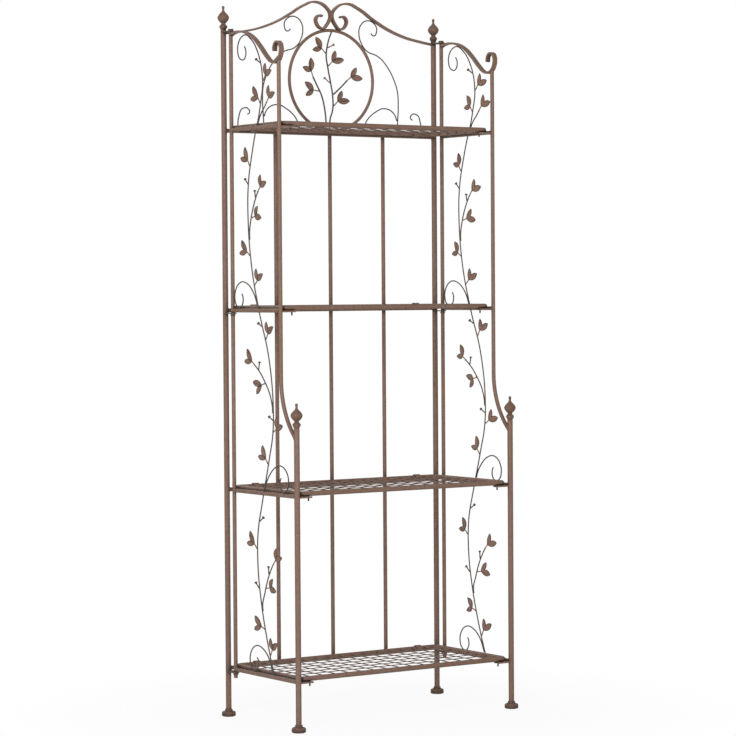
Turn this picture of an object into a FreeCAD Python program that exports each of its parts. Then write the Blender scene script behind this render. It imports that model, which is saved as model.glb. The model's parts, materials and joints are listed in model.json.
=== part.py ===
import FreeCAD, Part
import math
import os

# Folding plant shelf in iron bar. Millimetres; X to the right, Y to the back, Z up.
# The floor is Z = 0 and X = 0 is the middle. Pieces are drawn with Y = 0 in the plane of the two back
# posts, and are moved back by half the step to the front posts when they are saved.

# Main layout
POST_SPAN = 644.0
HINGE_STEP = 35.0
FRONT_STEP = 323.0
UPPER_STEP = 255.0
RUNG_HEIGHT = 121.0
SHELF_PITCH = 448.0
SHELF_COUNT = 4

# Bars
POST_DIA = 14.0
ROD_DIA = 10.0
FLAT_INSET = 1.0
FLAT_THICK = 5.0
RING_BAR_DIA = 8.0
WIRE_DIA = 3.2
SPRAY_DIA = 4.0
WELD_SINK = 0.1
RING_CLEARANCE = 1.6

# Feet and finials
FOOT_DIA = 35.0
FOOT_HEIGHT = 18.0
FINIAL_DIA = 26.0
FINIAL_HEIGHT = 62.0
POST_OVER_CREST = 7.0
FRONT_POST_TOP = 733.0

# Back frame and crest
ROD_SPACING = 165.0
CREST_DROP = 0.5
CREST_RISE = 93.0

# Side panels
ROD_BEND_DEG = 50.0
LUG_THICK = 4.0
LUG_WIDTH = 20.0
LUG_END = 5.0
NOTCH_WIDTH = 6.0

# Hinges
PLATE_THICK = 3.0
PLATE_WIDTH = 18.0
PLATE_GAP = 0.6
PLATE_SEAT = 0.8
HINGE_PLAY = 0.08
COLLAR_DIA = 13.0
COLLAR_HEIGHT = 4.0
ROD_END = 8.0

# Shelves
SHELF_BAR_DIA = 12.0
SHELF_SIDE_GAP = 4.0
SHELF_CORNER = 13.0
SHELF_REAR_STEP = 16.0
SHELF_FRONT_GAP = 7.0
SHELF_REST_GAP = 0.3
STRIP_WIDTH = 4.5
STRIP_THICK = 1.5
STRIP_PITCH = 38.2
PEG_DIA = 4.0
PEG_DROP = 12.0
PEG_INSET = 37.0
EYE_WALL = 2.5
EYE_LENGTH = 16.0

# Leaves and buds
LEAF_LENGTH = 35.0
LEAF_WIDTH = 17.5
LEAF_THICK = 1.6
LEAF_STALK = 16.0
LEAF_FOLD_DEG = 14.0
LEAF_SPREAD_DEG = 32.0
LEAF_LIFT_DEG = 6.0
BUD_DIA = 7.6
SMALL_LOBE_SHARE = 0.86
TWIG_DIA = 3.0
SCROLL_GAP = 2.9
LAP_LENGTH = 8.0
LAP_GAP = 0.2

POST_X = POST_SPAN / 2
ROD_R = ROD_DIA / 2
WIRE_R = WIRE_DIA / 2
PANEL_DEPTH = FRONT_STEP - HINGE_STEP
FLAT_WIDTH = POST_DIA - 2 * FLAT_INSET

# Side outline of the foot and the finial: share of the radius, share of the height
FOOT_SHARES = ((0.86, 0.0), (1.0, 0.1), (1.0, 0.36), (0.84, 0.5), (0.6, 0.62), (0.54, 0.74), (0.54, 1.0))
FINIAL_SHARES = ((0.5, 0.0), (0.53, 0.05), (0.64, 0.11), (0.7, 0.165), (0.56, 0.215), (0.38, 0.275),
                 (0.66, 0.355), (0.9, 0.435), (1.0, 0.52), (0.88, 0.6), (0.6, 0.68), (0.34, 0.745),
                 (0.2, 0.81), (0.2, 0.865), (0.25, 0.92), (0.14, 0.985))

# Half of a leaf: share of the length, share of the width
LEAF_BASE_SHARES = ((0.0, 0.0), (0.16, 0.29), (0.47, 0.5))
LEAF_TIP_SHARES = ((0.47, 0.5), (0.8, 0.33), (1.0, 0.0))
# Side outline of a bud's head: share of its radius, share of its diameter past the twig's end
BUD_SHARES = ((0.42, -0.5), (0.55, -0.2), (1.0, 0.0), (0.9, 0.16), (0.5, 0.3))

# Crest bar, right half: share of the way to the post, share of the rise
CREST_SHARES = ((1.0, 0.0), (0.86, 0.065), (0.71, 0.163), (0.55, 0.344), (0.39, 0.616), (0.27, 0.859),
                (0.15, 1.0), (0.05, 0.9), (0.0, 0.666), (0.025, 0.43), (0.078, 0.282), (0.13, 0.397),
                (0.137, 0.547), (0.105, 0.638), (0.08, 0.615))
CREST_LOW_SHARES = (0.078, 0.282)

# Crest wires and spray: shares of the ring radius from the ring's middle
SCROLL_WIRE_SHARES = ((0.97, 0.99), (1.04, 0.94), (1.11, 1.04), (0.99, 1.22), (0.84, 1.23), (0.7, 1.11),
                      (0.68, 0.91))
# Past the ring: share of the way from the ring to the post, share of the ring radius from its middle
SCROLL_TAIL_SHARES = ((0.16, 0.43), (0.312, 0.13), (0.39, -0.17), (0.403, -0.46), (0.39, -0.8),
                      (0.383, -1.07))
ARCH_WIRE_SHARES = ((0.397, -0.8), (0.318, -0.6), (0.174, -0.52), (0.01, -0.61), (-0.13, -0.8),
                    (-0.18, -1.07))
HOOK_WIRE_SHARES = ((0.775, -1.07), (0.775, -0.8), (0.709, -0.62), (0.631, -0.62), (0.605, -0.69),
                    (0.638, -0.73))
SPRAY_STEM_SHARES = ((0.01, 1.0), (-0.09, 0.7), (-0.12, 0.5), (-0.08, 0.24), (-0.02, -0.04), (0.03, -0.32),
                     (0.03, -0.56), (-0.04, -0.8), (-0.05, -1.0))
SPRAY_SIDE_SHARES = ((-0.14, -1.0), (-0.16, -0.6), (-0.24, -0.3), (-0.35, -0.1), (-0.434, 0.048))
SPRAY_TWIG_SHARES = ((0.03, -0.29), (0.2, -0.15), (0.37, 0.007))
# Leaf pairs: foot on the stem, then the directions of the stalk and of the leaves in degrees
SPRAY_LEAF_SHARES = ((-0.12, 0.523, 135, 158), (-0.08, 0.275, 43, 43), (-0.434, 0.048, 110, 128),
                     (-0.286, -0.231, 172, 177), (0.37, 0.007, 38, 26), (0.027, -0.526, 45, 35))
SPRAY_BUD_SHARES = ((-0.106, 0.64, 0.056, 0.718), (-0.052, -0.072, -0.177, 0.021))

# Panel ornament: share of the depth from hinge rod to front post, height over the lowest rung in pitches
TOP_BAR_SHARES = ((0.0, 3.522), (0.08, 3.535), (0.18, 3.534), (0.28, 3.519), (0.385, 3.486), (0.49, 3.433),
                  (0.575, 3.384), (0.645, 3.351), (0.705, 3.34), (0.764, 3.352), (0.8, 3.383),
                  (0.806, 3.417), (0.785, 3.443), (0.745, 3.45), (0.712, 3.434), (0.706, 3.403))
STEM_SHARES = ((0.629, 0.0), (0.534, 0.16), (0.436, 0.37), (0.378, 0.58), (0.381, 0.78), (0.463, 0.97),
               (0.555, 1.16), (0.631, 1.34), (0.633, 1.53), (0.571, 1.75), (0.429, 1.99), (0.321, 2.21),
               (0.264, 2.45), (0.267, 2.69), (0.354, 2.91), (0.466, 3.11), (0.508, 3.25), (0.459, 3.38),
               (0.332, 3.483), (0.235, 3.513), (0.143, 3.49), (0.11, 3.44), (0.149, 3.386), (0.219, 3.382),
               (0.245, 3.415), (0.22, 3.45))
BRANCH_SHARES = (((0.426, 3.037), (0.49, 3.08), (0.532, 3.105), (0.565, 3.129)),
                 ((0.265, 2.405), (0.315, 2.52), (0.37, 2.6), (0.42, 2.65)),
                 ((0.638, 1.46), (0.589, 1.54), (0.51, 1.61), (0.425, 1.665), (0.349, 1.7)),
                 ((0.436, 0.37), (0.487, 0.46), (0.548, 0.55), (0.62, 0.618)))
LEAF_SHARES = ((0.508, 3.242, 53, 49), (0.565, 3.129, 50, 49), (0.464, 3.126, 125, 153),
               (0.302, 2.785, 122, 134), (0.42, 2.65, 49, 48), (0.313, 2.505, 15, 24),
               (0.291, 2.297, 146, 154), (0.354, 2.136, 43, 60), (0.531, 1.838, 59, 63),
               (0.349, 1.7, 146, 148), (0.517, 1.602, 193, 200), (0.63, 1.336, 32, 45),
               (0.553, 1.158, 130, 137), (0.366, 0.687, 137, 147), (0.62, 0.618, 47, 44),
               (0.503, 0.478, 11, 20), (0.48, 0.251, 160, 166), (0.571, 0.112, 62, 65))
BUD_PLACE_SHARES = ((0.479, 3.345, 0.409, 3.37), (0.381, 2.61, 0.371, 2.655), (0.267, 2.69, 0.217, 2.722),
                    (0.41, 1.672, 0.424, 1.716), (0.478, 1.91, 0.413, 1.93), (0.634, 1.4, 0.573, 1.42),
                    (0.548, 0.55, 0.544, 0.6), (0.401, 0.84, 0.467, 0.866), (0.407, 0.47, 0.343, 0.505))
# Foot of each scroll on the stem, and the way that it turns: -1 to the rear, 1 to the front
SCROLL_FOOT_SHARES = ((0.401, 2.044, -1), (0.502, 1.044, 1), (0.605, 0.044, -1))
SCROLL_SHARES = ((0.0, 0.0), (0.2, 0.26), (0.45, 0.44), (0.7, 0.48), (0.92, 0.35), (1.0, 0.13),
                 (0.92, -0.07), (0.76, -0.12), (0.64, 0.0), (0.68, 0.2))
# The scroll in the second bay just clears the hinge rod
SCROLL_SPAN = SCROLL_FOOT_SHARES[0][0] * PANEL_DEPTH - ROD_R - WIRE_R - SCROLL_GAP


def vec(x, y, z):
    return FreeCAD.Vector(x, y, z)


def shelf_z(index):
    """Height of the rail and the rungs of a shelf, counted from the top."""
    return RUNG_HEIGHT + SHELF_PITCH * (SHELF_COUNT - 1 - index)


def front_step(index):
    """Distance of a shelf's front upright from the back posts."""
    return UPPER_STEP if index < SHELF_COUNT / 2 else FRONT_STEP


def mirrored(shape):
    return shape.mirror(vec(0, 0, 0), vec(1, 0, 0))


def save(name, solids):
    shape = solids[0].copy() if len(solids) == 1 else Part.makeCompound(solids)
    shape.translate(vec(0, FRONT_STEP / 2, 0))
    shape.exportStep("parts/" + name + ".step")


def bar(start, end, dia):
    run = end.sub(start)
    return Part.makeCylinder(dia / 2, run.Length, start, run)


def main_solid(shape):
    return max(shape.Solids, key=lambda solid: solid.Volume)


def seated(piece, neighbours):
    """The piece cut back to the surfaces of the pieces that it is welded to."""
    near = [other for other in neighbours if piece.BoundBox.intersect(other.BoundBox)]
    return main_solid(piece.cut(Part.makeCompound(near))) if near else piece


def nearest(paths, spot):
    """Middle line that passes nearest to the spot, its point there and its direction there."""
    vertex = Part.Vertex(spot)
    path = min(paths, key=lambda one: one.distToShape(vertex)[0])
    edge = min(path.Edges, key=lambda one: one.distToShape(vertex)[0])
    point = edge.distToShape(vertex)[1][0][0]
    return path, point, edge.tangentAt(edge.Curve.parameter(point)).normalize()


def is_tip(path, point, way, dia):
    """True where the wire ends at the point, so that one step on along it leaves the middle line."""
    steps = [vec(*way).multiply(side * dia) for side in (-1, 1)]
    return max(path.distToShape(Part.Vertex(point.add(step)))[0] for step in steps) > dia / 2


def root_of(paths, spot, along, wire_dia, dia):
    """Start of a twig that leaves in the given direction and just touches the wire that carries it."""
    path, point, way = nearest(paths, spot)
    cosine = abs(along.dot(way))
    sine = along.cross(way).Length
    if is_tip(path, point, way, wire_dia):
        reach = dia / 2 * sine / cosine
    else:
        reach = (wire_dia + dia * cosine) / (2 * sine)
    return point.add(vec(*along).multiply(reach))


def lapped(path, outline, place):
    """Outline of a branch whose foot lies side by side with the wire that it is welded to."""
    point, way = nearest([path], place(outline[0]))[1:]
    onward = place(outline[1]).sub(place(outline[0]))
    if onward.dot(way) < 0:
        way = way.multiply(-1)
    aside = onward.sub(vec(*way).multiply(onward.dot(way))).normalize()
    start = point.add(aside.multiply(WIRE_DIA + LAP_GAP))
    heel = start.sub(vec(*way).multiply(LAP_LENGTH))
    return [(heel.y, heel.z), (start.y, start.z)] + outline[1:]


def unit(pair):
    size = math.hypot(pair[0], pair[1])
    return (pair[0] / size, pair[1] / size)


def tangents(points):
    """Direction at each point, from the circle through it and its neighbours."""
    chords = [(b[0] - a[0], b[1] - a[1]) for a, b in zip(points, points[1:])]
    inner = []
    for first, second in zip(chords, chords[1:]):
        one, two = math.hypot(*first), math.hypot(*second)
        inner.append(unit((first[0] / one * two + second[0] / two * one,
                           first[1] / one * two + second[1] / two * one)))
    return [bounced(inner[0], chords[0])] + inner + [bounced(inner[-1], chords[-1])]


def bounced(direction, chord):
    along = unit(chord)
    twice = 2 * (direction[0] * along[0] + direction[1] * along[1])
    return (twice * along[0] - direction[0], twice * along[1] - direction[1])


def joint_of_arcs(a, ta, b, tb):
    """Point where two arcs meet that leave a and reach b in the given directions."""
    v = (b[0] - a[0], b[1] - a[1])
    t = (ta[0] + tb[0], ta[1] + tb[1])
    vt = v[0] * t[0] + v[1] * t[1]
    vv = v[0] * v[0] + v[1] * v[1]
    bend = 2 * (1 - ta[0] * tb[0] - ta[1] * tb[1])
    reach = vv / (2 * vt) if bend < 1e-6 else (math.sqrt(vt * vt + bend * vv) - vt) / bend
    return ((a[0] + b[0] + reach * (ta[0] - tb[0])) / 2, (a[1] + b[1] + reach * (ta[1] - tb[1])) / 2)


def arc_edge(a, ta, b, place):
    """Edge from a to b that leaves a in direction ta: an arc, or a line where it is straight."""
    chord = (b[0] - a[0], b[1] - a[1])
    along = unit(chord)
    lean = math.atan2(ta[0] * along[1] - ta[1] * along[0], ta[0] * along[0] + ta[1] * along[1])
    if abs(lean) < 2e-3:
        return Part.LineSegment(place(a), place(b)).toShape()
    rise = math.hypot(*chord) / 2 * math.tan(lean / 2)
    top = ((a[0] + b[0]) / 2 + rise * along[1], (a[1] + b[1]) / 2 - rise * along[0])
    return Part.Arc(place(a), place(top), place(b)).toShape()


def smooth_wire(points, place):
    """Wire of tangent arcs through the points of a flat outline."""
    ways = tangents(points)
    edges = []
    for a, ta, b, tb in zip(points, ways, points[1:], ways[1:]):
        middle = joint_of_arcs(a, ta, b, tb)
        edges.append(arc_edge(a, ta, middle, place))
        edges.append(arc_edge(b, (-tb[0], -tb[1]), middle, place).reversed())
    return Part.Wire(Part.sortEdges(edges)[0])


def swept(path, profile, normal):
    shell = Part.BRepOffsetAPI.MakePipeShell(path)
    shell.setBiNormalMode(normal)
    shell.add(profile)
    shell.build()
    shell.makeSolid()
    return shell.shape()


def start_of(points, place):
    """First point of an outline in space, and its direction there."""
    way = tangents(points)[0]
    return place(points[0]), place(way).sub(place((0, 0)))


def round_wire(points, dia, place, normal):
    """Round wire along the outline, and its middle line."""
    path = smooth_wire(points, place)
    start, way = start_of(points, place)
    return swept(path, Part.Wire(Part.Circle(start, way, dia / 2).toShape()), normal), path


def flat_bar(points, place, normal):
    """Flat bar bent on its flat: its width runs along the normal of the outline."""
    start, way = start_of(points, place)
    across = vec(*normal).multiply(FLAT_WIDTH / 2)
    through = way.cross(normal).normalize().multiply(FLAT_THICK / 2)
    corners = [start.add(across).add(through), start.sub(across).add(through),
               start.sub(across).sub(through), start.add(across).sub(through)]
    return swept(smooth_wire(points, place), Part.makePolygon(corners + corners[:1]), normal)


def turned(outline, x, y, z):
    """Solid of revolution about the upright through x, y, standing on z."""
    points = [vec(x + r, y, z + h) for r, h in outline]
    points = [vec(x, y, points[0].z)] + points + [vec(x, y, points[-1].z)]
    face = Part.Face(Part.makePolygon(points + points[:1]))
    return face.revolve(vec(x, y, z), vec(0, 0, 1), 360)


def foot(x, y):
    outline = [(FOOT_DIA / 2 * r, FOOT_HEIGHT * h) for r, h in FOOT_SHARES]
    return turned(outline, x, y, 0)


def finial(x, y, z):
    """Cast finial: knob, neck, onion bulb with a bowed outline, and a plain tip."""
    def at(point):
        return vec(x + point[0], y, z + point[1])
    outline = [(FINIAL_DIA / 2 * r, FINIAL_HEIGHT * h) for r, h in FINIAL_SHARES]
    base, top = at((0, 0)), at((0, outline[-1][1]))
    edges = smooth_wire(outline, at).Edges
    edges.append(Part.LineSegment(at(outline[-1]), top).toShape())
    edges.append(Part.LineSegment(top, base).toShape())
    edges.append(Part.LineSegment(base, at(outline[0])).toShape())
    return Part.Face(Part.Wire(Part.sortEdges(edges)[0])).revolve(base, vec(0, 0, 1), 360)


def leaf_half(side):
    """Half of a leaf blade, folded up about the midrib."""
    def at(pair):
        return vec(LEAF_LENGTH * pair[0], side * LEAF_WIDTH * pair[1], 0)
    bows = (LEAF_BASE_SHARES, LEAF_TIP_SHARES)
    edges = [Part.Arc(*[at(pair) for pair in shares]).toShape() for shares in bows]
    edges.append(Part.LineSegment(at(LEAF_TIP_SHARES[-1]), at(LEAF_BASE_SHARES[0])).toShape())
    blade = Part.Face(Part.Wire(edges)).extrude(vec(0, 0, LEAF_THICK))
    blade.rotate(vec(0, 0, 0), vec(1, 0, 0), side * LEAF_FOLD_DEG)
    return blade


def leaf_pair():
    """Two leaves that spring from one point, along +X, with the folds open towards +Z."""
    blade = leaf_half(1).fuse(leaf_half(-1))
    small = blade.copy()
    small.scale(SMALL_LOBE_SHARE)
    lobes = []
    for lobe, side in ((blade, 1), (small, -1)):
        lobe.rotate(vec(0, 0, 0), vec(0, 1, 0), -LEAF_LIFT_DEG)
        lobe.rotate(vec(0, 0, 0), vec(0, 0, 1), side * LEAF_SPREAD_DEG)
        lobe.translate(vec(0, 0, -LEAF_THICK / 2))
        lobes.append(lobe)
    return lobes[0].fuse(lobes[1])


def set_leaf(pair, root, stalk_way, leaf_way, normal):
    """Leaf pair on a stalk that leaves the wire in one direction and carries the leaves in another."""
    joint = root.add(vec(*stalk_way).multiply(LEAF_STALK))
    stalk = bar(root, joint.add(vec(*stalk_way).multiply(LEAF_THICK)), TWIG_DIA)
    across = normal.cross(leaf_way)
    leaf = pair.copy()
    leaf.Placement = FreeCAD.Placement(FreeCAD.Matrix(
        leaf_way.x, across.x, normal.x, joint.x, leaf_way.y, across.y, normal.y, joint.y,
        leaf_way.z, across.z, normal.z, joint.z, 0, 0, 0, 1))
    return stalk.fuse(leaf)


def bud(paths, spot, end, wire_dia):
    """Short twig that opens into a round head, from the wire to the given end."""
    along = end.sub(spot).normalize()
    root = root_of(paths, spot, along, wire_dia, TWIG_DIA)
    length = end.sub(root).Length
    outline = [(TWIG_DIA / 2, 0)] + [(BUD_DIA / 2 * r, length + BUD_DIA * h) for r, h in BUD_SHARES]
    head = turned(outline, 0, 0, 0)
    head.Placement = FreeCAD.Placement(root, FreeCAD.Rotation(vec(0, 0, 1), along))
    return head


def back_post():
    return bar(vec(POST_X, 0, FOOT_HEIGHT), vec(POST_X, 0, post_top()), POST_DIA)


def rail(index, posts):
    z = shelf_z(index)
    return seated(bar(vec(-POST_X, 0, z), vec(POST_X, 0, z), ROD_DIA), posts)


def back_rod(x):
    """Upright rod lapped on the back of the rails."""
    y = ROD_DIA - WELD_SINK
    return bar(vec(x, y, shelf_z(SHELF_COUNT - 1) - ROD_R), vec(x, y, shelf_z(0) + ROD_R), ROD_DIA)


def ring_outer():
    """Outer radius of the ring, which stands on the top rail and carries the scrolls of the crest bars."""
    low_x = crest_x(CREST_LOW_SHARES[0])
    low_z = crest_join() + CREST_LOW_SHARES[1] * CREST_RISE - FLAT_THICK / 2 + WELD_SINK
    rise = low_z - ring_foot()
    return (rise ** 2 + low_x ** 2) / (2 * rise)


def ring_foot():
    return shelf_z(0) + ROD_R - WELD_SINK


def ring_radius():
    return ring_outer() - RING_BAR_DIA / 2


def ring_z():
    return ring_foot() + ring_outer()


def crest_x(share):
    return FLAT_THICK / 2 + share * (POST_X - FLAT_THICK / 2)


def crest_join():
    """Height at which the crest bars leave the posts, beside the panels' top bars."""
    return top_bar_crown() - CREST_DROP


def post_top():
    return crest_join() + POST_OVER_CREST


def on_back(point):
    return vec(point[0], 0, point[1])


def about_ring(shares):
    return (ring_radius() * shares[0], ring_z() + ring_radius() * shares[1])


def past_ring(shares):
    """Point between the ring and the post."""
    return (ring_outer() + (POST_X - ring_outer()) * shares[0], ring_z() + ring_radius() * shares[1])


def beside_ring():
    """Point on the upper right of the ring that a wire passes just clear of."""
    reach = (ring_outer() + WIRE_R + RING_CLEARANCE) * math.sqrt(0.5)
    return (reach, ring_z() + reach)


def crest_bar(post):
    points = [(crest_x(s), crest_join() + h * CREST_RISE) for s, h in CREST_SHARES]
    middle = Part.makeBox(POST_X, FLAT_WIDTH * 2, CREST_RISE * 2, vec(-POST_X, -FLAT_WIDTH, crest_join()))
    return seated(flat_bar(points, on_back, vec(0, 1, 0)), [post, middle])


def crest_ring():
    return Part.makeTorus(ring_radius(), RING_BAR_DIA / 2, vec(0, 0, ring_z()), vec(0, 1, 0))


def crest_wire(points, dia):
    return round_wire(points, dia, on_back, vec(0, 1, 0))


def crest_wires(top_rail):
    """Long scroll that touches the ring, the arch that springs from it, and the hook beside the post."""
    outline = [about_ring(pair) for pair in SCROLL_WIRE_SHARES] + [beside_ring()]
    outline += [past_ring(pair) for pair in SCROLL_TAIL_SHARES]
    scroll, path = crest_wire(outline, WIRE_DIA)
    arch = crest_wire(sprung([path], [past_ring(pair) for pair in ARCH_WIRE_SHARES], WIRE_DIA), WIRE_DIA)[0]
    hook = crest_wire([past_ring(pair) for pair in HOOK_WIRE_SHARES], WIRE_DIA)[0]
    return [seated(piece, [top_rail]) for piece in (scroll, arch, hook)]


def sprung(paths, points, dia):
    """Outline whose first point is moved along its first run until it touches the wire that it leaves."""
    start = on_back(points[0])
    along = on_back(points[1]).sub(start).normalize()
    root = root_of(paths, start, along, dia, dia)
    return [(root.x, root.z)] + points[1:]


def ring_end(points):
    """Outline whose first point is drawn in to the inner face of the ring."""
    x, z = points[0][0], points[0][1] - ring_z()
    inner = (ring_radius() - RING_BAR_DIA / 2 - LAP_GAP) / math.hypot(x, z)
    return [(x * inner, ring_z() + z * inner)] + points[1:]


def spray_stems():
    """Stems in the ring, and the middle lines that leaves and buds grow from."""
    main = [about_ring(pair) for pair in SPRAY_STEM_SHARES]
    main = ring_end(ring_end(main)[::-1])
    side = ring_end([about_ring(pair) for pair in SPRAY_SIDE_SHARES])
    made = [crest_wire(main, SPRAY_DIA), crest_wire(side, SPRAY_DIA)]
    twig = sprung([made[0][1]], [about_ring(pair) for pair in SPRAY_TWIG_SHARES], SPRAY_DIA)
    made.append(crest_wire(twig, SPRAY_DIA))
    return [piece for piece, path in made], [path for piece, path in made]


def spray_leaves(pair, paths):
    made = []
    for s, h, stalk_deg, leaf_deg in SPRAY_LEAF_SHARES:
        stalk_way, leaf_way = [vec(math.cos(math.radians(deg)), 0, math.sin(math.radians(deg)))
                               for deg in (stalk_deg, leaf_deg)]
        root = root_of(paths, on_back(about_ring((s, h))), stalk_way, SPRAY_DIA, TWIG_DIA)
        made.append(set_leaf(pair, root, stalk_way, leaf_way, vec(0, -1, 0)))
    for s, h, s_end, h_end in SPRAY_BUD_SHARES:
        made.append(bud(paths, on_back(about_ring((s, h))), on_back(about_ring((s_end, h_end))), SPRAY_DIA))
    return made


def top_bar_crown():
    """Height of the top bar's upper face in front of the hinge rod."""
    return on_panel(TOP_BAR_SHARES[1])[1] + FLAT_THICK / 2


def plate_levels():
    """Underside of the hinge plates: under the lowest rung, under the second rung, over the top bar."""
    under = ROD_R + PLATE_GAP + PLATE_THICK
    return (shelf_z(SHELF_COUNT - 1) - under, shelf_z(1) - under, top_bar_crown() + PLATE_GAP)


def hinge_plates(post):
    """Flat plates on the back post, each with a hole for the hinge rod."""
    arm_length = HINGE_STEP - POST_DIA / 2 + PLATE_SEAT
    made = []
    for z in plate_levels():
        middle = vec(POST_X, -HINGE_STEP, z)
        eye = Part.makeCylinder(PLATE_WIDTH / 2, PLATE_THICK, middle)
        arm = Part.makeBox(PLATE_WIDTH, arm_length, PLATE_THICK, middle.sub(vec(PLATE_WIDTH / 2, 0, 0)))
        hole = Part.makeCylinder(ROD_R + HINGE_PLAY, PLATE_THICK * 3, middle.sub(vec(0, 0, PLATE_THICK)))
        made.append(main_solid(eye.fuse(arm).cut(Part.makeCompound([hole, post]))))
    return made


def shelf_eyes(index, top_rail):
    """Two eyes on the rail, in which the shelf's rear bar turns: each between the outer two strips."""
    z = shelf_z(index)
    bore = SHELF_BAR_DIA / 2 + HINGE_PLAY
    made = []
    for side in (-1, 1):
        x = side * STRIP_PITCH * (strip_reach() - 0.5) - EYE_LENGTH / 2
        axis = vec(x, -SHELF_REAR_STEP, z + SHELF_BAR_DIA / 2)
        outer = Part.makeCylinder(bore + EYE_WALL, EYE_LENGTH, axis, vec(1, 0, 0))
        arm = Part.makeBox(EYE_LENGTH, SHELF_REAR_STEP, EYE_WALL * 2, vec(x, -SHELF_REAR_STEP, z))
        hole = Part.makeCylinder(bore, EYE_LENGTH, axis, vec(1, 0, 0))
        made.append(main_solid(outer.fuse(arm).cut(Part.makeCompound([hole, top_rail]))))
    return made


def on_panel(shares):
    """Panel shares as (Y, Z)."""
    return (-HINGE_STEP - shares[0] * PANEL_DEPTH, RUNG_HEIGHT + shares[1] * SHELF_PITCH)


def in_panel(point):
    return vec(POST_X, point[0], point[1])


def hinge_rod():
    low = plate_levels()[0] - COLLAR_HEIGHT - PLATE_GAP - ROD_END
    high = plate_levels()[2] + PLATE_THICK + COLLAR_HEIGHT
    return bar(vec(POST_X, -HINGE_STEP, low), vec(POST_X, -HINGE_STEP, high), ROD_DIA)


def hinge_collars(rod):
    """Collars on the hinge rod: under the two lower plates and over the top one."""
    levels = plate_levels()
    feet = [levels[0] - PLATE_GAP - COLLAR_HEIGHT, levels[1] - PLATE_GAP - COLLAR_HEIGHT,
            levels[2] + PLATE_THICK + PLATE_GAP]
    made = []
    for z in feet:
        ring = Part.makeCylinder(COLLAR_DIA / 2, COLLAR_HEIGHT - PLATE_GAP, vec(POST_X, -HINGE_STEP, z))
        made.append(ring.cut(rod))
    return made


def front_post():
    return bar(vec(POST_X, -FRONT_STEP, FOOT_HEIGHT), vec(POST_X, -FRONT_STEP, FRONT_POST_TOP), POST_DIA)


def top_bar(rod):
    points = [on_panel(pair) for pair in TOP_BAR_SHARES]
    return seated(flat_bar(points, in_panel, vec(1, 0, 0)), [rod])


def front_rod(post, crown):
    """Upper front rod: straight below the top bar, then one bend forward into the post."""
    turn = math.radians(ROD_BEND_DEG)
    step = FRONT_STEP - UPPER_STEP
    radius = step / (1 - math.cos(turn))
    foot_z = FRONT_POST_TOP - POST_DIA * 2
    knee_z = foot_z + radius * math.sin(turn)
    top_z = on_panel(TOP_BAR_SHARES[9])[1]
    half = turn / 2
    top, knee = vec(POST_X, -UPPER_STEP, top_z), vec(POST_X, -UPPER_STEP, knee_z)
    bow = vec(POST_X, -UPPER_STEP - radius * (1 - math.cos(half)), knee_z - radius * math.sin(half))
    end = vec(POST_X, -FRONT_STEP, foot_z)
    path = Part.Wire([Part.LineSegment(top, knee).toShape(), Part.Arc(knee, bow, end).toShape()])
    profile = Part.Wire(Part.Circle(top, vec(0, 0, -1), ROD_R).toShape())
    return seated(swept(path, profile, vec(1, 0, 0)), [post, crown])


def rungs(neighbours):
    made = []
    for index in range(SHELF_COUNT):
        z = shelf_z(index)
        piece = bar(vec(POST_X, -HINGE_STEP, z), vec(POST_X, -front_step(index), z), ROD_DIA)
        made.append(seated(piece, neighbours))
    return made


def peg_place(index):
    return vec(POST_X - PEG_INSET, -front_step(index) + SHELF_FRONT_GAP, shelf_z(index))


def lugs(rung_list, uprights):
    """Plates on the rungs' inner side; the shelf's peg stands in a notch that is open inwards."""
    made = []
    for index, rung in enumerate(rung_list):
        peg = peg_place(index)
        z = peg.z - SHELF_REST_GAP - LUG_THICK
        end = peg.x - LUG_END
        plate = Part.makeBox(POST_X - end, LUG_WIDTH, LUG_THICK, vec(end, peg.y - LUG_WIDTH / 2, z))
        seat = Part.makeCylinder(NOTCH_WIDTH / 2, LUG_THICK * 3, vec(peg.x, peg.y, z - LUG_THICK))
        mouth = Part.makeBox(LUG_END * 2, NOTCH_WIDTH, LUG_THICK * 3,
                             vec(peg.x - LUG_END * 2, peg.y - NOTCH_WIDTH / 2, z - LUG_THICK))
        made.append(seated(plate, [rung, seat.fuse(mouth)] + uprights))
    return made


def vine_wire(points):
    return round_wire(points, WIRE_DIA, in_panel, vec(1, 0, 0))


def vine_scrolls(stem_path):
    """Branches and the three scrolls that spring from the stem, and their middle lines."""
    outlines = [[on_panel(pair) for pair in shares] for shares in BRANCH_SHARES]
    for s, h, way in SCROLL_FOOT_SHARES:
        y, z = on_panel((s, h))
        outlines.append([(y - way * SCROLL_SPAN * a, z + SCROLL_SPAN * b) for a, b in SCROLL_SHARES])
    made = [vine_wire(lapped(stem_path, outline, in_panel)) for outline in outlines]
    return [piece for piece, path in made], [path for piece, path in made]


def vine_leaves(pair, paths):
    made = []
    for s, h, stalk_deg, leaf_deg in LEAF_SHARES:
        stalk_way, leaf_way = [vec(0, -math.cos(math.radians(deg)), math.sin(math.radians(deg)))
                               for deg in (stalk_deg, leaf_deg)]
        root = root_of(paths, in_panel(on_panel((s, h))), stalk_way, WIRE_DIA, TWIG_DIA)
        made.append(set_leaf(pair, root, stalk_way, leaf_way, vec(1, 0, 0)))
    return made


def vine_buds(paths):
    return [bud(paths, in_panel(on_panel((s, h))), in_panel(on_panel((s_end, h_end))), WIRE_DIA)
            for s, h, s_end, h_end in BUD_PLACE_SHARES]


def shelf_half_width():
    return POST_X - ROD_R - SHELF_SIDE_GAP - SHELF_BAR_DIA / 2


def strip_reach():
    """Number of strips from front to back on either side of the middle one."""
    return int((shelf_half_width() - SHELF_BAR_DIA) / STRIP_PITCH)


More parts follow.
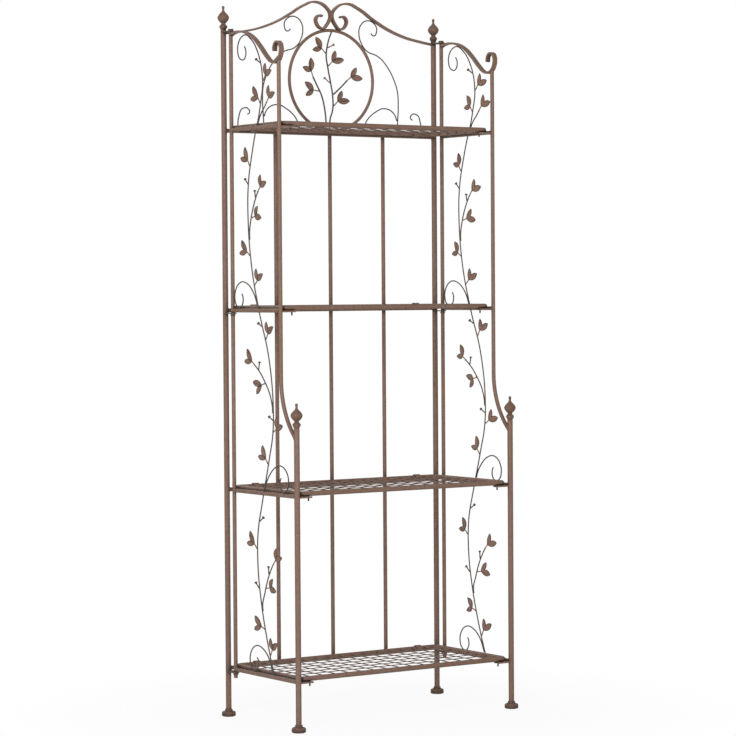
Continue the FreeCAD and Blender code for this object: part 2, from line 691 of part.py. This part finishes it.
def shelf_frame(index):
    """The frame as straight bars and quarter bends, fused to one closed bar."""
    x = shelf_half_width()
    front = -front_step(index) + SHELF_FRONT_GAP
    back = -SHELF_REAR_STEP
    z = shelf_z(index) + SHELF_BAR_DIA / 2
    bend = SHELF_CORNER
    pieces = [bar(vec(bend - x, front, z), vec(x - bend, front, z), SHELF_BAR_DIA),
              bar(vec(bend - x, back, z), vec(x - bend, back, z), SHELF_BAR_DIA)]
    for side in (-x, x):
        pieces.append(bar(vec(side, front + bend, z), vec(side, back - bend, z), SHELF_BAR_DIA))
    for sx, sy, y in ((1, 1, back), (-1, 1, back), (-1, -1, front), (1, -1, front)):
        middle = vec(sx * (x - bend), y - sy * bend, z)
        start = Part.Circle(middle.add(vec(sx * bend, 0, 0)), vec(0, 1, 0), SHELF_BAR_DIA / 2)
        face = Part.Face(Part.Wire(start.toShape()))
        pieces.append(face.revolve(middle, vec(0, 0, 1), sx * sy * 90))
    return pieces[0].fuse(pieces[1:])


def shelf_strips(index, frame):
    """Lattice: strips from side to side below, strips from front to back on top of them."""
    x = shelf_half_width()
    front = -front_step(index) + SHELF_FRONT_GAP
    depth = -SHELF_REAR_STEP - front
    z = shelf_z(index) + SHELF_BAR_DIA / 2
    made = []
    rows = round(depth / STRIP_PITCH)
    for row in range(1, rows):
        y = front + depth * row / rows - STRIP_WIDTH / 2
        made.append(Part.makeBox(2 * x, STRIP_WIDTH, STRIP_THICK, vec(-x, y, z - STRIP_THICK)))
    for column in range(-strip_reach(), strip_reach() + 1):
        left = column * STRIP_PITCH - STRIP_WIDTH / 2
        made.append(Part.makeBox(STRIP_WIDTH, depth, STRIP_THICK, vec(left, front, z)))
    return [seated(strip, [frame]) for strip in made]


def shelf_pegs(index, frame):
    spot = peg_place(index)
    made = []
    for side in (-1, 1):
        top = vec(side * spot.x, spot.y, spot.z + SHELF_BAR_DIA / 2)
        made.append(seated(bar(vec(top.x, top.y, spot.z - PEG_DROP), top, PEG_DIA), [frame]))
    return made


def build_back(pair):
    right = back_post()
    posts = [mirrored(right), right]
    save("back_post_left", posts[:1])
    save("back_post_right", posts[1:])
    save("back_finials", [finial(x, 0, post_top()) for x in (-POST_X, POST_X)])
    save("back_feet", [foot(x, 0) for x in (-POST_X, POST_X)])
    rails = [rail(index, posts) for index in range(SHELF_COUNT)]
    eyes = []
    for index, piece in enumerate(rails):
        save("back_rail_%d" % (index + 1), [piece])
        eyes += shelf_eyes(index, piece)
    save("shelf_eyes", eyes)
    save("back_rods", [back_rod(x) for x in (-ROD_SPACING, 0, ROD_SPACING)])
    save("crest_ring", [crest_ring()])
    crest = crest_bar(right)
    save("crest_bar_right", [crest])
    save("crest_bar_left", [mirrored(crest)])
    wires = crest_wires(rails[0])
    save("crest_wires_right", wires)
    save("crest_wires_left", [mirrored(wire) for wire in wires])
    stems, paths = spray_stems()
    save("crest_spray_stems", stems)
    facing = pair.mirror(vec(0, 0, 0), vec(0, 1, 0))
    save("crest_spray_leaves", spray_leaves(facing, paths))
    plates = hinge_plates(right)
    save("hinge_plates_right", plates)
    save("hinge_plates_left", [mirrored(plate) for plate in plates])


def build_panels(leaf):
    rod = hinge_rod()
    post = front_post()
    crown = top_bar(rod)
    upper = front_rod(post, crown)
    steps = rungs([rod, post, upper])
    stem, stem_path = vine_wire([on_panel(pair) for pair in STEM_SHARES])
    scrolls, scroll_paths = vine_scrolls(stem_path)
    paths = [stem_path] + scroll_paths
    panel = {"hinge_rod": [rod], "hinge_collars": hinge_collars(rod), "front_post": [post],
             "finial": [finial(POST_X, -FRONT_STEP, FRONT_POST_TOP)], "foot": [foot(POST_X, -FRONT_STEP)],
             "top_bar": [crown], "front_rod": [upper], "rungs": steps, "lugs": lugs(steps, [post, upper]),
             "vine_stem": stem.cut(Part.makeCompound(steps)).Solids, "vine_scrolls": scrolls,
             "vine_leaves": vine_leaves(leaf, paths), "vine_buds": vine_buds(paths)}
    for name, solids in panel.items():
        save("right_" + name, solids)
        save("left_" + name, [mirrored(solid) for solid in solids])


def build_shelves():
    for index in range(SHELF_COUNT):
        frame = shelf_frame(index)
        name = "shelf_%d_" % (index + 1)
        save(name + "frame", [frame])
        save(name + "lattice", shelf_strips(index, frame))
        save(name + "pegs", shelf_pegs(index, frame))


def build():
    os.makedirs("parts", exist_ok=True)
    pair = leaf_pair()
    build_back(pair)
    build_panels(pair)
    build_shelves()


build()
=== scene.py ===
import json
import math
import bmesh
import bpy
from mathutils import Matrix, Vector, noise
from mathutils.bvhtree import BVHTree


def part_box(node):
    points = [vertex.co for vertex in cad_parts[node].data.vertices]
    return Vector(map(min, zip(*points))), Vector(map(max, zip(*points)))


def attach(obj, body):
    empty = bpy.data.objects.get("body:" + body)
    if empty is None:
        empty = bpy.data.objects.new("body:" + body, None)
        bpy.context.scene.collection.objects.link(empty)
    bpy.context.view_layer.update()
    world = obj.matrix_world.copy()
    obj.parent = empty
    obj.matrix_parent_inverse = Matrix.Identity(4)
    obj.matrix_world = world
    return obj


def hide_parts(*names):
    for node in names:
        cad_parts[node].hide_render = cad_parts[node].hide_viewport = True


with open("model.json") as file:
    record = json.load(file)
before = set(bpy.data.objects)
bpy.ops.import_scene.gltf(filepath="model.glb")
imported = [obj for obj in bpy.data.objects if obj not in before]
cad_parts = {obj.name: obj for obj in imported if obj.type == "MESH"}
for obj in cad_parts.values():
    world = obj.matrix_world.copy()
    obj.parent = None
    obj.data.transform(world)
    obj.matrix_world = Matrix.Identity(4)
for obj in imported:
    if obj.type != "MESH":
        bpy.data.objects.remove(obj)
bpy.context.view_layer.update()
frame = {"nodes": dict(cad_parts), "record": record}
nodes = frame["nodes"]

# Places of the ironwork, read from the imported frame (metres)

SIDES = {"left": -1, "right": 1}
TIERS = (1, 2, 3, 4)


def middle(node):
    low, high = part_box(node)
    return (low + high) / 2


def thickness(node):
    low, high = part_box(node)
    return high.x - low.x


POST_X = middle("back_post_right").x
POST_R = thickness("back_post_right") / 2
BACK_Y = middle("back_post_right").y
HINGE_Y = middle("right_hinge_rod").y
FRONT_Y = middle("right_front_post").y
ROD_R = thickness("right_hinge_rod") / 2
RAIL_Z = [middle("back_rail_%d" % tier).z for tier in TIERS]
UPPER_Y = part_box("right_front_rod")[1].y - ROD_R
FRONT_OF_TIER = [UPPER_Y, UPPER_Y, FRONT_Y, FRONT_Y]

# Paint: the sizes of its patches (metres), the dust and the sheen

TONE_PATCH = 0.3
MOTTLE_PATCH = 0.012
SPECK = 0.0022
RUB_AND_SHADE_PATCH = 0.02
DUST_PATCH = 0.03
PEBBLE = 0.0016
RIPPLE = 0.009
PEBBLE_DEPTH = 0.0005
DUST = (0.36, 0.31, 0.27)
SHEEN = 0.25


class Paint:
    """A material's nodes, added one by one and wired by name."""

    def __init__(self, name):
        self.material = bpy.data.materials.new(name)
        self.material.use_nodes = True
        self.tree = self.material.node_tree
        self.shader = self.tree.nodes["Principled BSDF"]
        self.coordinates = self.add("ShaderNodeTexCoord")

    def add(self, kind, **settings):
        node = self.tree.nodes.new(kind)
        for key, value in settings.items():
            setattr(node, key, value)
        return node

    def wire(self, source, target):
        self.tree.links.new(source, target)

    def cloud(self, size, detail=4.0, rough=0.55):
        """Noise whose patches are about the given size, in metres."""
        node = self.add("ShaderNodeTexNoise")
        node.inputs["Scale"].default_value = 1 / size
        node.inputs["Detail"].default_value = detail
        node.inputs["Roughness"].default_value = rough
        self.wire(self.coordinates.outputs["Object"], node.inputs["Vector"])
        return node.outputs["Fac"]

    def between(self, value, low, high, to_low=0.0, to_high=1.0, **settings):
        """A value that runs from low to high, brought to another range and kept inside it."""
        node = self.add("ShaderNodeMapRange", clamp=True, **settings)
        self.wire(value, node.inputs["Value"])
        numbers = {"From Min": low, "From Max": high, "To Min": to_low, "To Max": to_high}
        for key, number in numbers.items():
            node.inputs[key].default_value = number
        return node.outputs["Result"]

    def joined(self, operation, first, second):
        node = self.add("ShaderNodeMath", operation=operation)
        self.wire(first, node.inputs[0])
        self.wire(second, node.inputs[1])
        return node.outputs["Value"]

    def blend(self, share, under, over):
        """Colour that goes from under to over; each is a colour or another node's output."""
        node = self.add("ShaderNodeMix", data_type="RGBA")
        self.wire(share, node.inputs[0])
        for socket, colour in ((node.inputs[6], under), (node.inputs[7], over)):
            if isinstance(colour, bpy.types.NodeSocket):
                self.wire(colour, socket)
            else:
                socket.default_value = (*colour, 1.0)
        return node.outputs[2]

    def edges(self, reach):
        """1 along the sharp edges of the metal, 0 on its faces."""
        round_off = self.add("ShaderNodeBevel", samples=4)
        round_off.inputs["Radius"].default_value = reach
        flat = self.add("ShaderNodeNewGeometry").outputs["Normal"]
        same = self.add("ShaderNodeVectorMath", operation="DOT_PRODUCT")
        self.wire(round_off.outputs["Normal"], same.inputs[0])
        self.wire(flat, same.inputs[1])
        return self.between(same.outputs["Value"], 0.97, 0.82)

    def painted_shade_in_hollows(self, reach, shut):
        """Mask for painted shade: 1 where metal within reach leaves only the given share of the sky open, 0 in
        the open.
        """
        node = self.add("ShaderNodeAmbientOcclusion", samples=6)
        node.inputs["Distance"].default_value = reach
        return self.between(node.outputs["AO"], 0.95, shut)

    def upper_faces(self):
        """1 on faces that look up when the piece stands as in the photograph."""
        split = self.add("ShaderNodeSeparateXYZ")
        self.wire(self.coordinates.outputs["Normal"], split.inputs[0])
        return self.between(split.outputs["Z"], 0.55, 0.95)

    def relief(self, height, depth, strength):
        node = self.add("ShaderNodeBump")
        node.inputs["Distance"].default_value = depth
        node.inputs["Strength"].default_value = strength
        self.wire(height, node.inputs["Height"])
        self.wire(node.outputs["Normal"], self.shader.inputs["Normal"])


def darker(colour, share):
    return [channel * share for channel in colour]


def painted_iron(name, coat, warm, shade, edge, edge_reach=0.0009, gloss=(0.46, 0.64), hollow_shade=(0.035, 0.35)):
    """Stove paint on iron: two tones in clouds, dark specks, rubbed edges (painted shade where the edge colour
    is dark, as on the leaves), dust, painted shade in hollows and a pebbled skin.
    """
    paint = Paint(name)
    tones = paint.between(paint.cloud(TONE_PATCH, 2), 0.36, 0.64)
    mottle = paint.between(paint.cloud(MOTTLE_PATCH, 5, 0.65), 0.4, 0.66)
    specks = paint.between(paint.cloud(SPECK, 3, 0.6), 0.6, 0.72, 0, 0.5)
    colour = paint.blend(tones, coat, warm)
    colour = paint.blend(paint.between(mottle, 0, 1, 0, 0.35), colour, shade)
    colour = paint.blend(specks, colour, darker(shade, 0.5))
    # edges in the edge colour: rubbed wear where it is lighter than the coat, painted shade where it is darker,
    # as on the leaves
    wear_and_edge_shade = paint.between(paint.cloud(RUB_AND_SHADE_PATCH, 4), 0.36, 0.58)
    colour = paint.blend(paint.joined("MULTIPLY", paint.edges(edge_reach), wear_and_edge_shade), colour, edge)
    settled = paint.between(paint.cloud(DUST_PATCH, 5, 0.7), 0.42, 0.7, 0, 0.3)
    dust = paint.joined("MULTIPLY", paint.upper_faces(), settled)
    colour = paint.blend(dust, colour, DUST)
    # painted shade: darker colour in curls, corners and between parts, where nearby metal closes off the sky
    colour = paint.blend(paint.painted_shade_in_hollows(*hollow_shade), colour, darker(shade, 0.3))
    paint.wire(colour, paint.shader.inputs["Base Color"])
    skin_gloss = paint.between(mottle, 0, 1, *gloss)
    paint.wire(paint.joined("ADD", skin_gloss, dust), paint.shader.inputs["Roughness"])
    paint.shader.inputs["Specular IOR Level"].default_value = SHEEN
    pebbles = paint.joined("ADD", paint.cloud(PEBBLE, 3, 0.6), paint.cloud(RIPPLE, 2))
    paint.relief(pebbles, PEBBLE_DEPTH, 0.3)
    return paint.material


FINISHES = {
    "bar": painted_iron(
        "brown_bar_paint", coat=(0.226, 0.139, 0.109), warm=(0.214, 0.126, 0.085),
        shade=(0.148, 0.088, 0.067), edge=(0.32, 0.21, 0.15)),
    # scroll: like the bar paint, with a wider and deeper painted shade inside the curls
    "scroll": painted_iron(
        "scroll_bar_paint_with_painted_shade", coat=(0.23, 0.141, 0.11), warm=(0.218, 0.128, 0.087),
        shade=(0.15, 0.09, 0.068), edge=(0.32, 0.21, 0.15), hollow_shade=(0.05, 0.6)),
    "wire": painted_iron(
        "dark_wire_paint", coat=(0.088, 0.068, 0.06), warm=(0.09, 0.064, 0.05),
        shade=(0.055, 0.042, 0.037), edge=(0.15, 0.11, 0.085)),
    # leaf: the dark edge colour is painted shade along each leaf's outline, and its hollow setting paints shade
    # where lobes and stalks meet
    "leaf": painted_iron(
        "leaf_paint", coat=(0.262, 0.159, 0.121), warm=(0.25, 0.144, 0.096),
        shade=(0.18, 0.107, 0.08), edge=(0.09, 0.058, 0.046), edge_reach=0.0016, hollow_shade=(0.012, 0.2)),
    # rim and dark_rim: dark paint for the leaf rims, painted shade along the leaf outlines
    "rim": painted_iron(
        "leaf_rim_painted_shade", coat=(0.118, 0.077, 0.061), warm=(0.112, 0.07, 0.051),
        shade=(0.075, 0.049, 0.039), edge=(0.12, 0.08, 0.06)),
    "dark_rim": painted_iron(
        "vine_leaf_rim_painted_shade", coat=(0.065, 0.045, 0.037), warm=(0.062, 0.041, 0.031),
        shade=(0.042, 0.029, 0.024), edge=(0.11, 0.075, 0.06)),
    "casting": painted_iron(
        "casting_paint", coat=(0.19, 0.111, 0.082), warm=(0.175, 0.099, 0.066),
        shade=(0.11, 0.063, 0.046), edge=(0.3, 0.195, 0.135), edge_reach=0.0012, gloss=(0.48, 0.66)),
    "fitting": painted_iron(
        "fitting_paint", coat=(0.105, 0.073, 0.062), warm=(0.1, 0.068, 0.053),
        shade=(0.062, 0.044, 0.037), edge=(0.24, 0.18, 0.14)),
    "lattice": painted_iron(
        "lattice_paint", coat=(0.175, 0.108, 0.085), warm=(0.165, 0.098, 0.069),
        shade=(0.11, 0.066, 0.052), edge=(0.26, 0.17, 0.12), edge_reach=0.0006),
    "weld": painted_iron(
        "weld_paint", coat=(0.2, 0.122, 0.095), warm=(0.19, 0.112, 0.08),
        shade=(0.125, 0.076, 0.06), edge=(0.28, 0.18, 0.125), edge_reach=0.0006, gloss=(0.5, 0.7)),
}


def finish_of(node, slot):
    """Eyes and lugs are painted like the bars, and the flat bars with scrolls get a stronger painted shade
    inside their curls.
    """
    if node.endswith(("eyes", "lugs")):
        return "bar"
    if node.startswith("crest_bar") or node.endswith("top_bar"):
        return "scroll"
    return slot


for part in frame["record"]["subparts"]:
    coated = nodes[part["node"]].data.materials
    coated.clear()
    coated.append(FINISHES[finish_of(part["node"], part["material_slot"])])


def finished(shape, name, body, finish):
    """A new smooth piece from a bmesh, which is used up."""
    bmesh.ops.recalc_face_normals(shape, faces=shape.faces)
    mesh = bpy.data.meshes.new(name)
    shape.to_mesh(mesh)
    shape.free()
    for face in mesh.polygons:
        face.use_smooth = True
    piece = bpy.data.objects.new(name, mesh)
    bpy.context.scene.collection.objects.link(piece)
    mesh.materials.append(FINISHES[finish])
    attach(piece, body)
    return piece


# Welds (metres): how near two pieces lie at a weld, and how far apart two drops are

WELD_REACH = 0.0008
DROPS_APART = 0.008
LONG_CONTACT = 0.03
DROP_FLAT = 0.7
DROP_BUMPS = 600
RAIL_BEAD = 0.0015
RUNG_BEAD = 0.0014
BEAD_BUMPS = 700
UPRIGHT_SLACK = 1e-4


def skin(node):
    mesh = nodes[node].data
    return [vert.co for vert in mesh.vertices], [face.vertices for face in mesh.polygons]


def mean(vectors):
    return sum(vectors, Vector()) / len(vectors)


def contacts(node, other, reach, apart):
    """Where a piece meets another: the spot on the other one and the way out of it, once for each place."""
    tree = BVHTree.FromPolygons(*skin(other))
    places = []
    for corner in skin(node)[0]:
        spot, outward = tree.find_nearest(corner, reach)[:2]
        if spot is None:
            continue
        for place in places:
            if (place[0][0] - spot).length < apart:
                place.append((spot, outward))
                break
        else:
            places.append([(spot, outward)])
    return [[mean(found) for found in zip(*place)] for place in places]


def weld_drop(beads, spot, outward, size):
    """One drop of weld, a little flattened on the metal that it lies on."""
    turn = outward.to_track_quat("Z", "Y").to_matrix().to_4x4()
    where = Matrix.Translation(spot) @ turn @ Matrix.Diagonal((size, size, size * DROP_FLAT, 1))
    made = bmesh.ops.create_uvsphere(beads, u_segments=8, v_segments=5, radius=1, matrix=where)["verts"]
    for vert in made:
        vert.co += (vert.co - spot) * noise.noise(vert.co * DROP_BUMPS) * 0.3


def drops_between(beads, pairs, size, apart=DROPS_APART, reach=WELD_REACH):
    for node, other in pairs:
        for spot, outward in contacts(node, other, reach, apart):
            weld_drop(beads, spot, outward, size)


def weld_ring(beads, spot, along, upright_r, bead):
    """Bead round the end of a rod that butts against a round upright; along points out of the upright."""
    aside = along.cross(Vector((0, 0, 1))).normalized()
    turn = Matrix((along, aside, along.cross(aside))).transposed().to_4x4()
    turn.translation = spot + aside * (ROD_R + bead * 0.2)
    start = len(beads.verts)
    section = bmesh.ops.create_circle(beads, segments=8, radius=bead, matrix=turn)["verts"]
    edges = list({edge for vert in section for edge in vert.link_edges})
    bmesh.ops.spin(beads, geom=section + edges, cent=spot, axis=along, angle=math.tau, steps=18,
                   use_merge=True)
    for vert in list(beads.verts)[start:]:
        out = vert.co - spot
        lateral = min(abs(out.dot(aside)), upright_r * 0.95)
        sunk = math.sqrt(upright_r ** 2 - lateral ** 2) - upright_r
        wobble = noise.noise(vert.co * BEAD_BUMPS) * bead * 0.35
        vert.co += along * sunk + out.normalized() * wobble


def back_frame_welds():
    beads = bmesh.new()
    for z in RAIL_Z:
        for side in SIDES.values():
            end = Vector((side * (POST_X - POST_R), BACK_Y, z))
            weld_ring(beads, end, Vector((-side, 0, 0)), POST_R, RAIL_BEAD)
    drops_between(beads, [("back_rods", "back_rail_%d" % tier) for tier in TIERS], size=0.0034)
    drops_between(beads, [("shelf_eyes", "back_rail_%d" % tier) for tier in TIERS], size=0.0022)
    drops_between(beads, [("crest_ring", "back_rail_1")], size=0.003)
    for name in SIDES:
        post, bar = "back_post_" + name, "crest_bar_" + name
        drops_between(beads, [(bar, post), ("hinge_plates_" + name, post)], size=0.0022)
        drops_between(beads, [("crest_ring", bar)], size=0.0028, apart=LONG_CONTACT, reach=0.0015)
    finished(beads, "back_frame_welds", "back_frame", "weld")


def crest_welds():
    beads = bmesh.new()
    stems = "crest_spray_stems"
    drops_between(beads, [("crest_spray_leaves", stems), (stems, "crest_ring")], size=0.0026)
    for name in SIDES:
        wires = "crest_wires_" + name
        drops_between(beads, [(wires, "crest_ring"), (wires, "back_rail_1")], size=0.0024, apart=LONG_CONTACT)
        drops_between(beads, [(wires, "crest_bar_" + name)], size=0.0026, apart=LONG_CONTACT, reach=0.0021)
    finished(beads, "crest_welds", "back_frame", "wire")


def on_panel(name, *pairs):
    return [(name + "_" + first, name + "_" + second) for first, second in pairs]


def panel_welds(name, side):
    beads = bmesh.new()
    for z, front in zip(RAIL_Z, FRONT_OF_TIER):
        upright_r = POST_R if front == FRONT_Y else ROD_R
        rear_end = Vector((side * POST_X, HINGE_Y - ROD_R, z))
        front_end = Vector((side * POST_X, front + upright_r, z))
        weld_ring(beads, rear_end, Vector((0, -1, 0)), ROD_R + UPRIGHT_SLACK, RUNG_BEAD)
        weld_ring(beads, front_end, Vector((0, 1, 0)), upright_r + UPRIGHT_SLACK, RUNG_BEAD)
    drops_between(beads, on_panel(
        name, ("top_bar", "hinge_rod"), ("front_rod", "front_post"), ("lugs", "rungs")), size=0.0024)
    drops_between(beads, on_panel(name, ("front_rod", "top_bar")), size=0.0026, apart=0.02, reach=0.0015)
    finished(beads, name + "_panel_welds", name + "_panel", "weld")


def vine_welds(name):
    beads = bmesh.new()
    drops_between(beads, on_panel(
        name, ("vine_leaves", "vine_stem"), ("vine_leaves", "vine_scrolls"), ("vine_buds", "vine_stem"),
        ("vine_buds", "vine_scrolls"), ("vine_scrolls", "vine_stem"), ("vine_scrolls", "rungs"),
        ("vine_stem", "rungs")), size=0.0022)
    drops_between(beads, on_panel(name, ("vine_stem", "top_bar")), size=0.0024, apart=LONG_CONTACT, reach=0.0016)
    finished(beads, name + "_vine_welds", name + "_panel", "wire")


def shelf_welds(tier):
    beads = bmesh.new()
    drops_between(beads, [("shelf_%d_lattice" % tier, "shelf_%d_frame" % tier)], size=0.0021)
    finished(beads, "shelf_%d_welds" % tier, "shelf_%d" % tier, "weld")


back_frame_welds()
crest_welds()
for name, side in SIDES.items():
    panel_welds(name, side)
    vine_welds(name)
for tier in TIERS:
    shelf_welds(tier)

# Leaf rims of painted shade, finials and foot rims (metres; the foot rim's section in shares of the foot's
# radius and heights)

SAME_POINT = 1e-6
LEAF_FACE = 1e-4
RIM_WIDTH = 0.0013
RIM_HEIGHT = 0.0003
FINIAL_GAIN = 0.12
FINIAL_NECK = 0.006
FOOT_RIM = ((0.66, 0.0003), (0.87, 0.0003), (0.97, 0.002), (0.995, 0.0042),
            (0.995, 0.0088), (0.96, 0.0108), (0.82, 0.0124), (0.66, 0.0126))


def shape_of(node):
    shape = bmesh.new()
    shape.from_mesh(nodes[node].data)
    bmesh.ops.remove_doubles(shape, verts=shape.verts, dist=SAME_POINT)
    return shape


def leaf_shade_rims(node, name, body, finish):
    """Narrow raised rim of painted shade along the outline of each leaf, on both of its faces; smaller faces
    have none.
    """
    rims = shape_of(node)
    bmesh.ops.dissolve_limit(rims, angle_limit=math.radians(2), verts=rims.verts, edges=rims.edges)
    small = [face for face in rims.faces if face.calc_area() < LEAF_FACE]
    bmesh.ops.delete(rims, geom=small, context="FACES")
    leaves = list(rims.faces)
    bmesh.ops.inset_region(rims, faces=leaves, thickness=RIM_WIDTH, use_boundary=True, use_even_offset=False)
    bmesh.ops.delete(rims, geom=leaves, context="FACES")
    raised = bmesh.ops.extrude_face_region(rims, geom=list(rims.faces), use_keep_orig=True)["geom"]
    rims.normal_update()
    lift = {item: item.normal * RIM_HEIGHT for item in raised if isinstance(item, bmesh.types.BMVert)}
    for vert, step in lift.items():
        vert.co += step
    finished(rims, name, body, finish)


def full_finial(node, name, body):
    """A finial's own shape, turned fuller above its neck, as the photograph shows it."""
    turned = shape_of(node)
    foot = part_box(node)[0].z
    y = middle(node).y
    for vert in turned.verts:
        axis = Vector((math.copysign(POST_X, vert.co.x), y, vert.co.z))
        vert.co += (vert.co - axis) * FINIAL_GAIN * min((vert.co.z - foot) / FINIAL_NECK, 1)
    piece = finished(turned, name, body, "casting")
    piece.data.set_sharp_from_angle(angle=math.radians(40))
    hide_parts(node)


def foot_rim(rims, centre):
    """Rounded rim turned round the upright line through a foot."""
    foot_r = thickness("right_foot") / 2
    corners = [rims.verts.new(centre + Vector((share * foot_r, 0, z))) for share, z in FOOT_RIM]
    outline = [rims.edges.new(pair) for pair in zip(corners, corners[1:] + corners[:1])]
    bmesh.ops.spin(rims, geom=corners + outline, cent=centre, axis=(0, 0, 1), angle=math.tau, steps=40,
                   use_merge=True)


def foot_rims():
    back = bmesh.new()
    for name, side in SIDES.items():
        foot_rim(back, Vector((side * POST_X, BACK_Y, 0)))
        front = bmesh.new()
        foot_rim(front, Vector((side * POST_X, FRONT_Y, 0)))
        finished(front, name + "_foot_rim", name + "_panel", "casting")
    finished(back, "back_foot_rims", "back_frame", "casting")


# dark rims of painted shade along the outlines of the crest and vine leaves
leaf_shade_rims("crest_spray_leaves", "crest_leaf_shade_rims", "back_frame", "rim")
full_finial("back_finials", "full_back_finials", "back_frame")
for name in SIDES:
    leaf_shade_rims(name + "_vine_leaves", name + "_leaf_shade_rims", name + "_panel", "dark_rim")
    full_finial(name + "_finial", "full_%s_finial" % name, name + "_panel")
foot_rims()

# Studio: the floor and where its shadow fades out (metres), lamps and the photograph's camera

FLOOR = 40
FLOOR_WHITE = (0.9, 0.9, 0.9, 1)
SHADOW_NEAR, SHADOW_FAR = 0.35, 1.1
WHITE_NEAR = 0.93
ROOM_LIGHT = 0.15
LAMPS = {
    "key": {"place": (-3.9, -3.2, 2.9), "aim": (0, 0, 0.9), "size": 1.6, "watts": 190},
    "fill": {"place": (3.6, -3.0, 2.4), "aim": (0, 0, 0.9), "size": 3.0, "watts": 12},
    "back": {"place": (0.5, 4.0, 3.2), "aim": (0, 0, 1.0), "size": 2.6, "watts": 40},
    "low_card": {"place": (-1.4, -3.2, 0.2), "aim": (0, 0, 1.5), "size": 1.4, "watts": 30},
}
CAMERA_PLACE = (-3.8955, -5.6942, 1.065)
CAMERA_YAW, CAMERA_PITCH, CAMERA_ROLL = 34.358, -1.624, -0.378
CAMERA_LENS = 134.14


def seen_directly(tree):
    """1 for what the camera sees, straight or in a reflection; 0 for light that falls on the metal."""
    path = tree.nodes.new("ShaderNodeLightPath")
    total = path.outputs["Is Camera Ray"]
    for ray in ("Is Glossy Ray", "Is Transmission Ray"):
        either = tree.nodes.new("ShaderNodeMath")
        either.operation = "MAXIMUM"
        tree.links.new(total, either.inputs[0])
        tree.links.new(path.outputs[ray], either.inputs[1])
        total = either.outputs[0]
    return total


def white_floor():
    """White sheet that shows a soft shadow round the feet and fades to plain white further out."""
    sheet = Paint("white_floor")
    sheet.shader.inputs["Base Color"].default_value = FLOOR_WHITE
    sheet.shader.inputs["Roughness"].default_value = 0.9
    white = sheet.add("ShaderNodeEmission")
    away = sheet.add("ShaderNodeVectorMath", operation="LENGTH")
    sheet.wire(sheet.coordinates.outputs["Object"], away.inputs[0])
    fade = sheet.between(
        away.outputs["Value"], SHADOW_NEAR, SHADOW_FAR, WHITE_NEAR, interpolation_type="SMOOTHSTEP")
    both = sheet.add("ShaderNodeMixShader")
    sheet.wire(sheet.joined("MULTIPLY", seen_directly(sheet.tree), fade), both.inputs["Fac"])
    sheet.wire(sheet.shader.outputs[0], both.inputs[1])
    sheet.wire(white.outputs[0], both.inputs[2])
    sheet.wire(both.outputs[0], sheet.tree.nodes["Material Output"].inputs["Surface"])
    return sheet.material


def studio():
    mesh = bpy.data.meshes.new("floor")
    sheet = bmesh.new()
    bmesh.ops.create_grid(sheet, x_segments=1, y_segments=1, size=FLOOR)
    sheet.to_mesh(mesh)
    sheet.free()
    mesh.materials.append(white_floor())
    floor = bpy.data.objects.new("floor", mesh)
    bpy.context.scene.collection.objects.link(floor)
    world = bpy.data.worlds.new("white_room")
    world.use_nodes = True
    bpy.context.scene.world = world
    tree = world.node_tree
    back = tree.nodes["Background"]
    back.inputs["Color"].default_value = (1, 1, 1, 1)
    level = tree.nodes.new("ShaderNodeMapRange")
    level.inputs["To Min"].default_value = ROOM_LIGHT
    tree.links.new(seen_directly(tree), level.inputs["Value"])
    tree.links.new(level.outputs["Result"], back.inputs["Strength"])


def lamp(name, place, aim, size, watts):
    light = bpy.data.lights.new(name, "AREA")
    light.shape = "DISK"
    light.size = size
    light.energy = watts
    holder = bpy.data.objects.new(name, light)
    holder.location = place
    holder.rotation_euler = (Vector(aim) - Vector(place)).to_track_quat("-Z", "Y").to_euler()
    bpy.context.scene.collection.objects.link(holder)


def photo_camera():
    """Long lens, in front and to the left at the middle of the height, as the photograph was taken."""
    yaw, pitch, roll = (math.radians(angle) for angle in (CAMERA_YAW, CAMERA_PITCH, CAMERA_ROLL))
    level = Vector((math.cos(yaw), -math.sin(yaw), 0))
    ahead = Vector((math.sin(yaw) * math.cos(pitch), math.cos(yaw) * math.cos(pitch), math.sin(pitch)))
    upright = level.cross(ahead)
    right = level * math.cos(roll) + upright * math.sin(roll)
    up = upright * math.cos(roll) - level * math.sin(roll)
    lens = bpy.data.cameras.new("photo_camera")
    lens.sensor_width = 36
    lens.lens = CAMERA_LENS
    lens.clip_end = 100
    holder = bpy.data.objects.new("photo_camera", lens)
    turn = Matrix((right, up, -ahead)).transposed().to_4x4()
    turn.translation = Vector(CAMERA_PLACE)
    holder.matrix_world = turn
    bpy.context.scene.collection.objects.link(holder)
    bpy.context.scene.camera = holder


studio()
for name, settings in LAMPS.items():
    lamp(name, **settings)
photo_camera()
bpy.context.scene.view_settings.view_transform = "Standard"
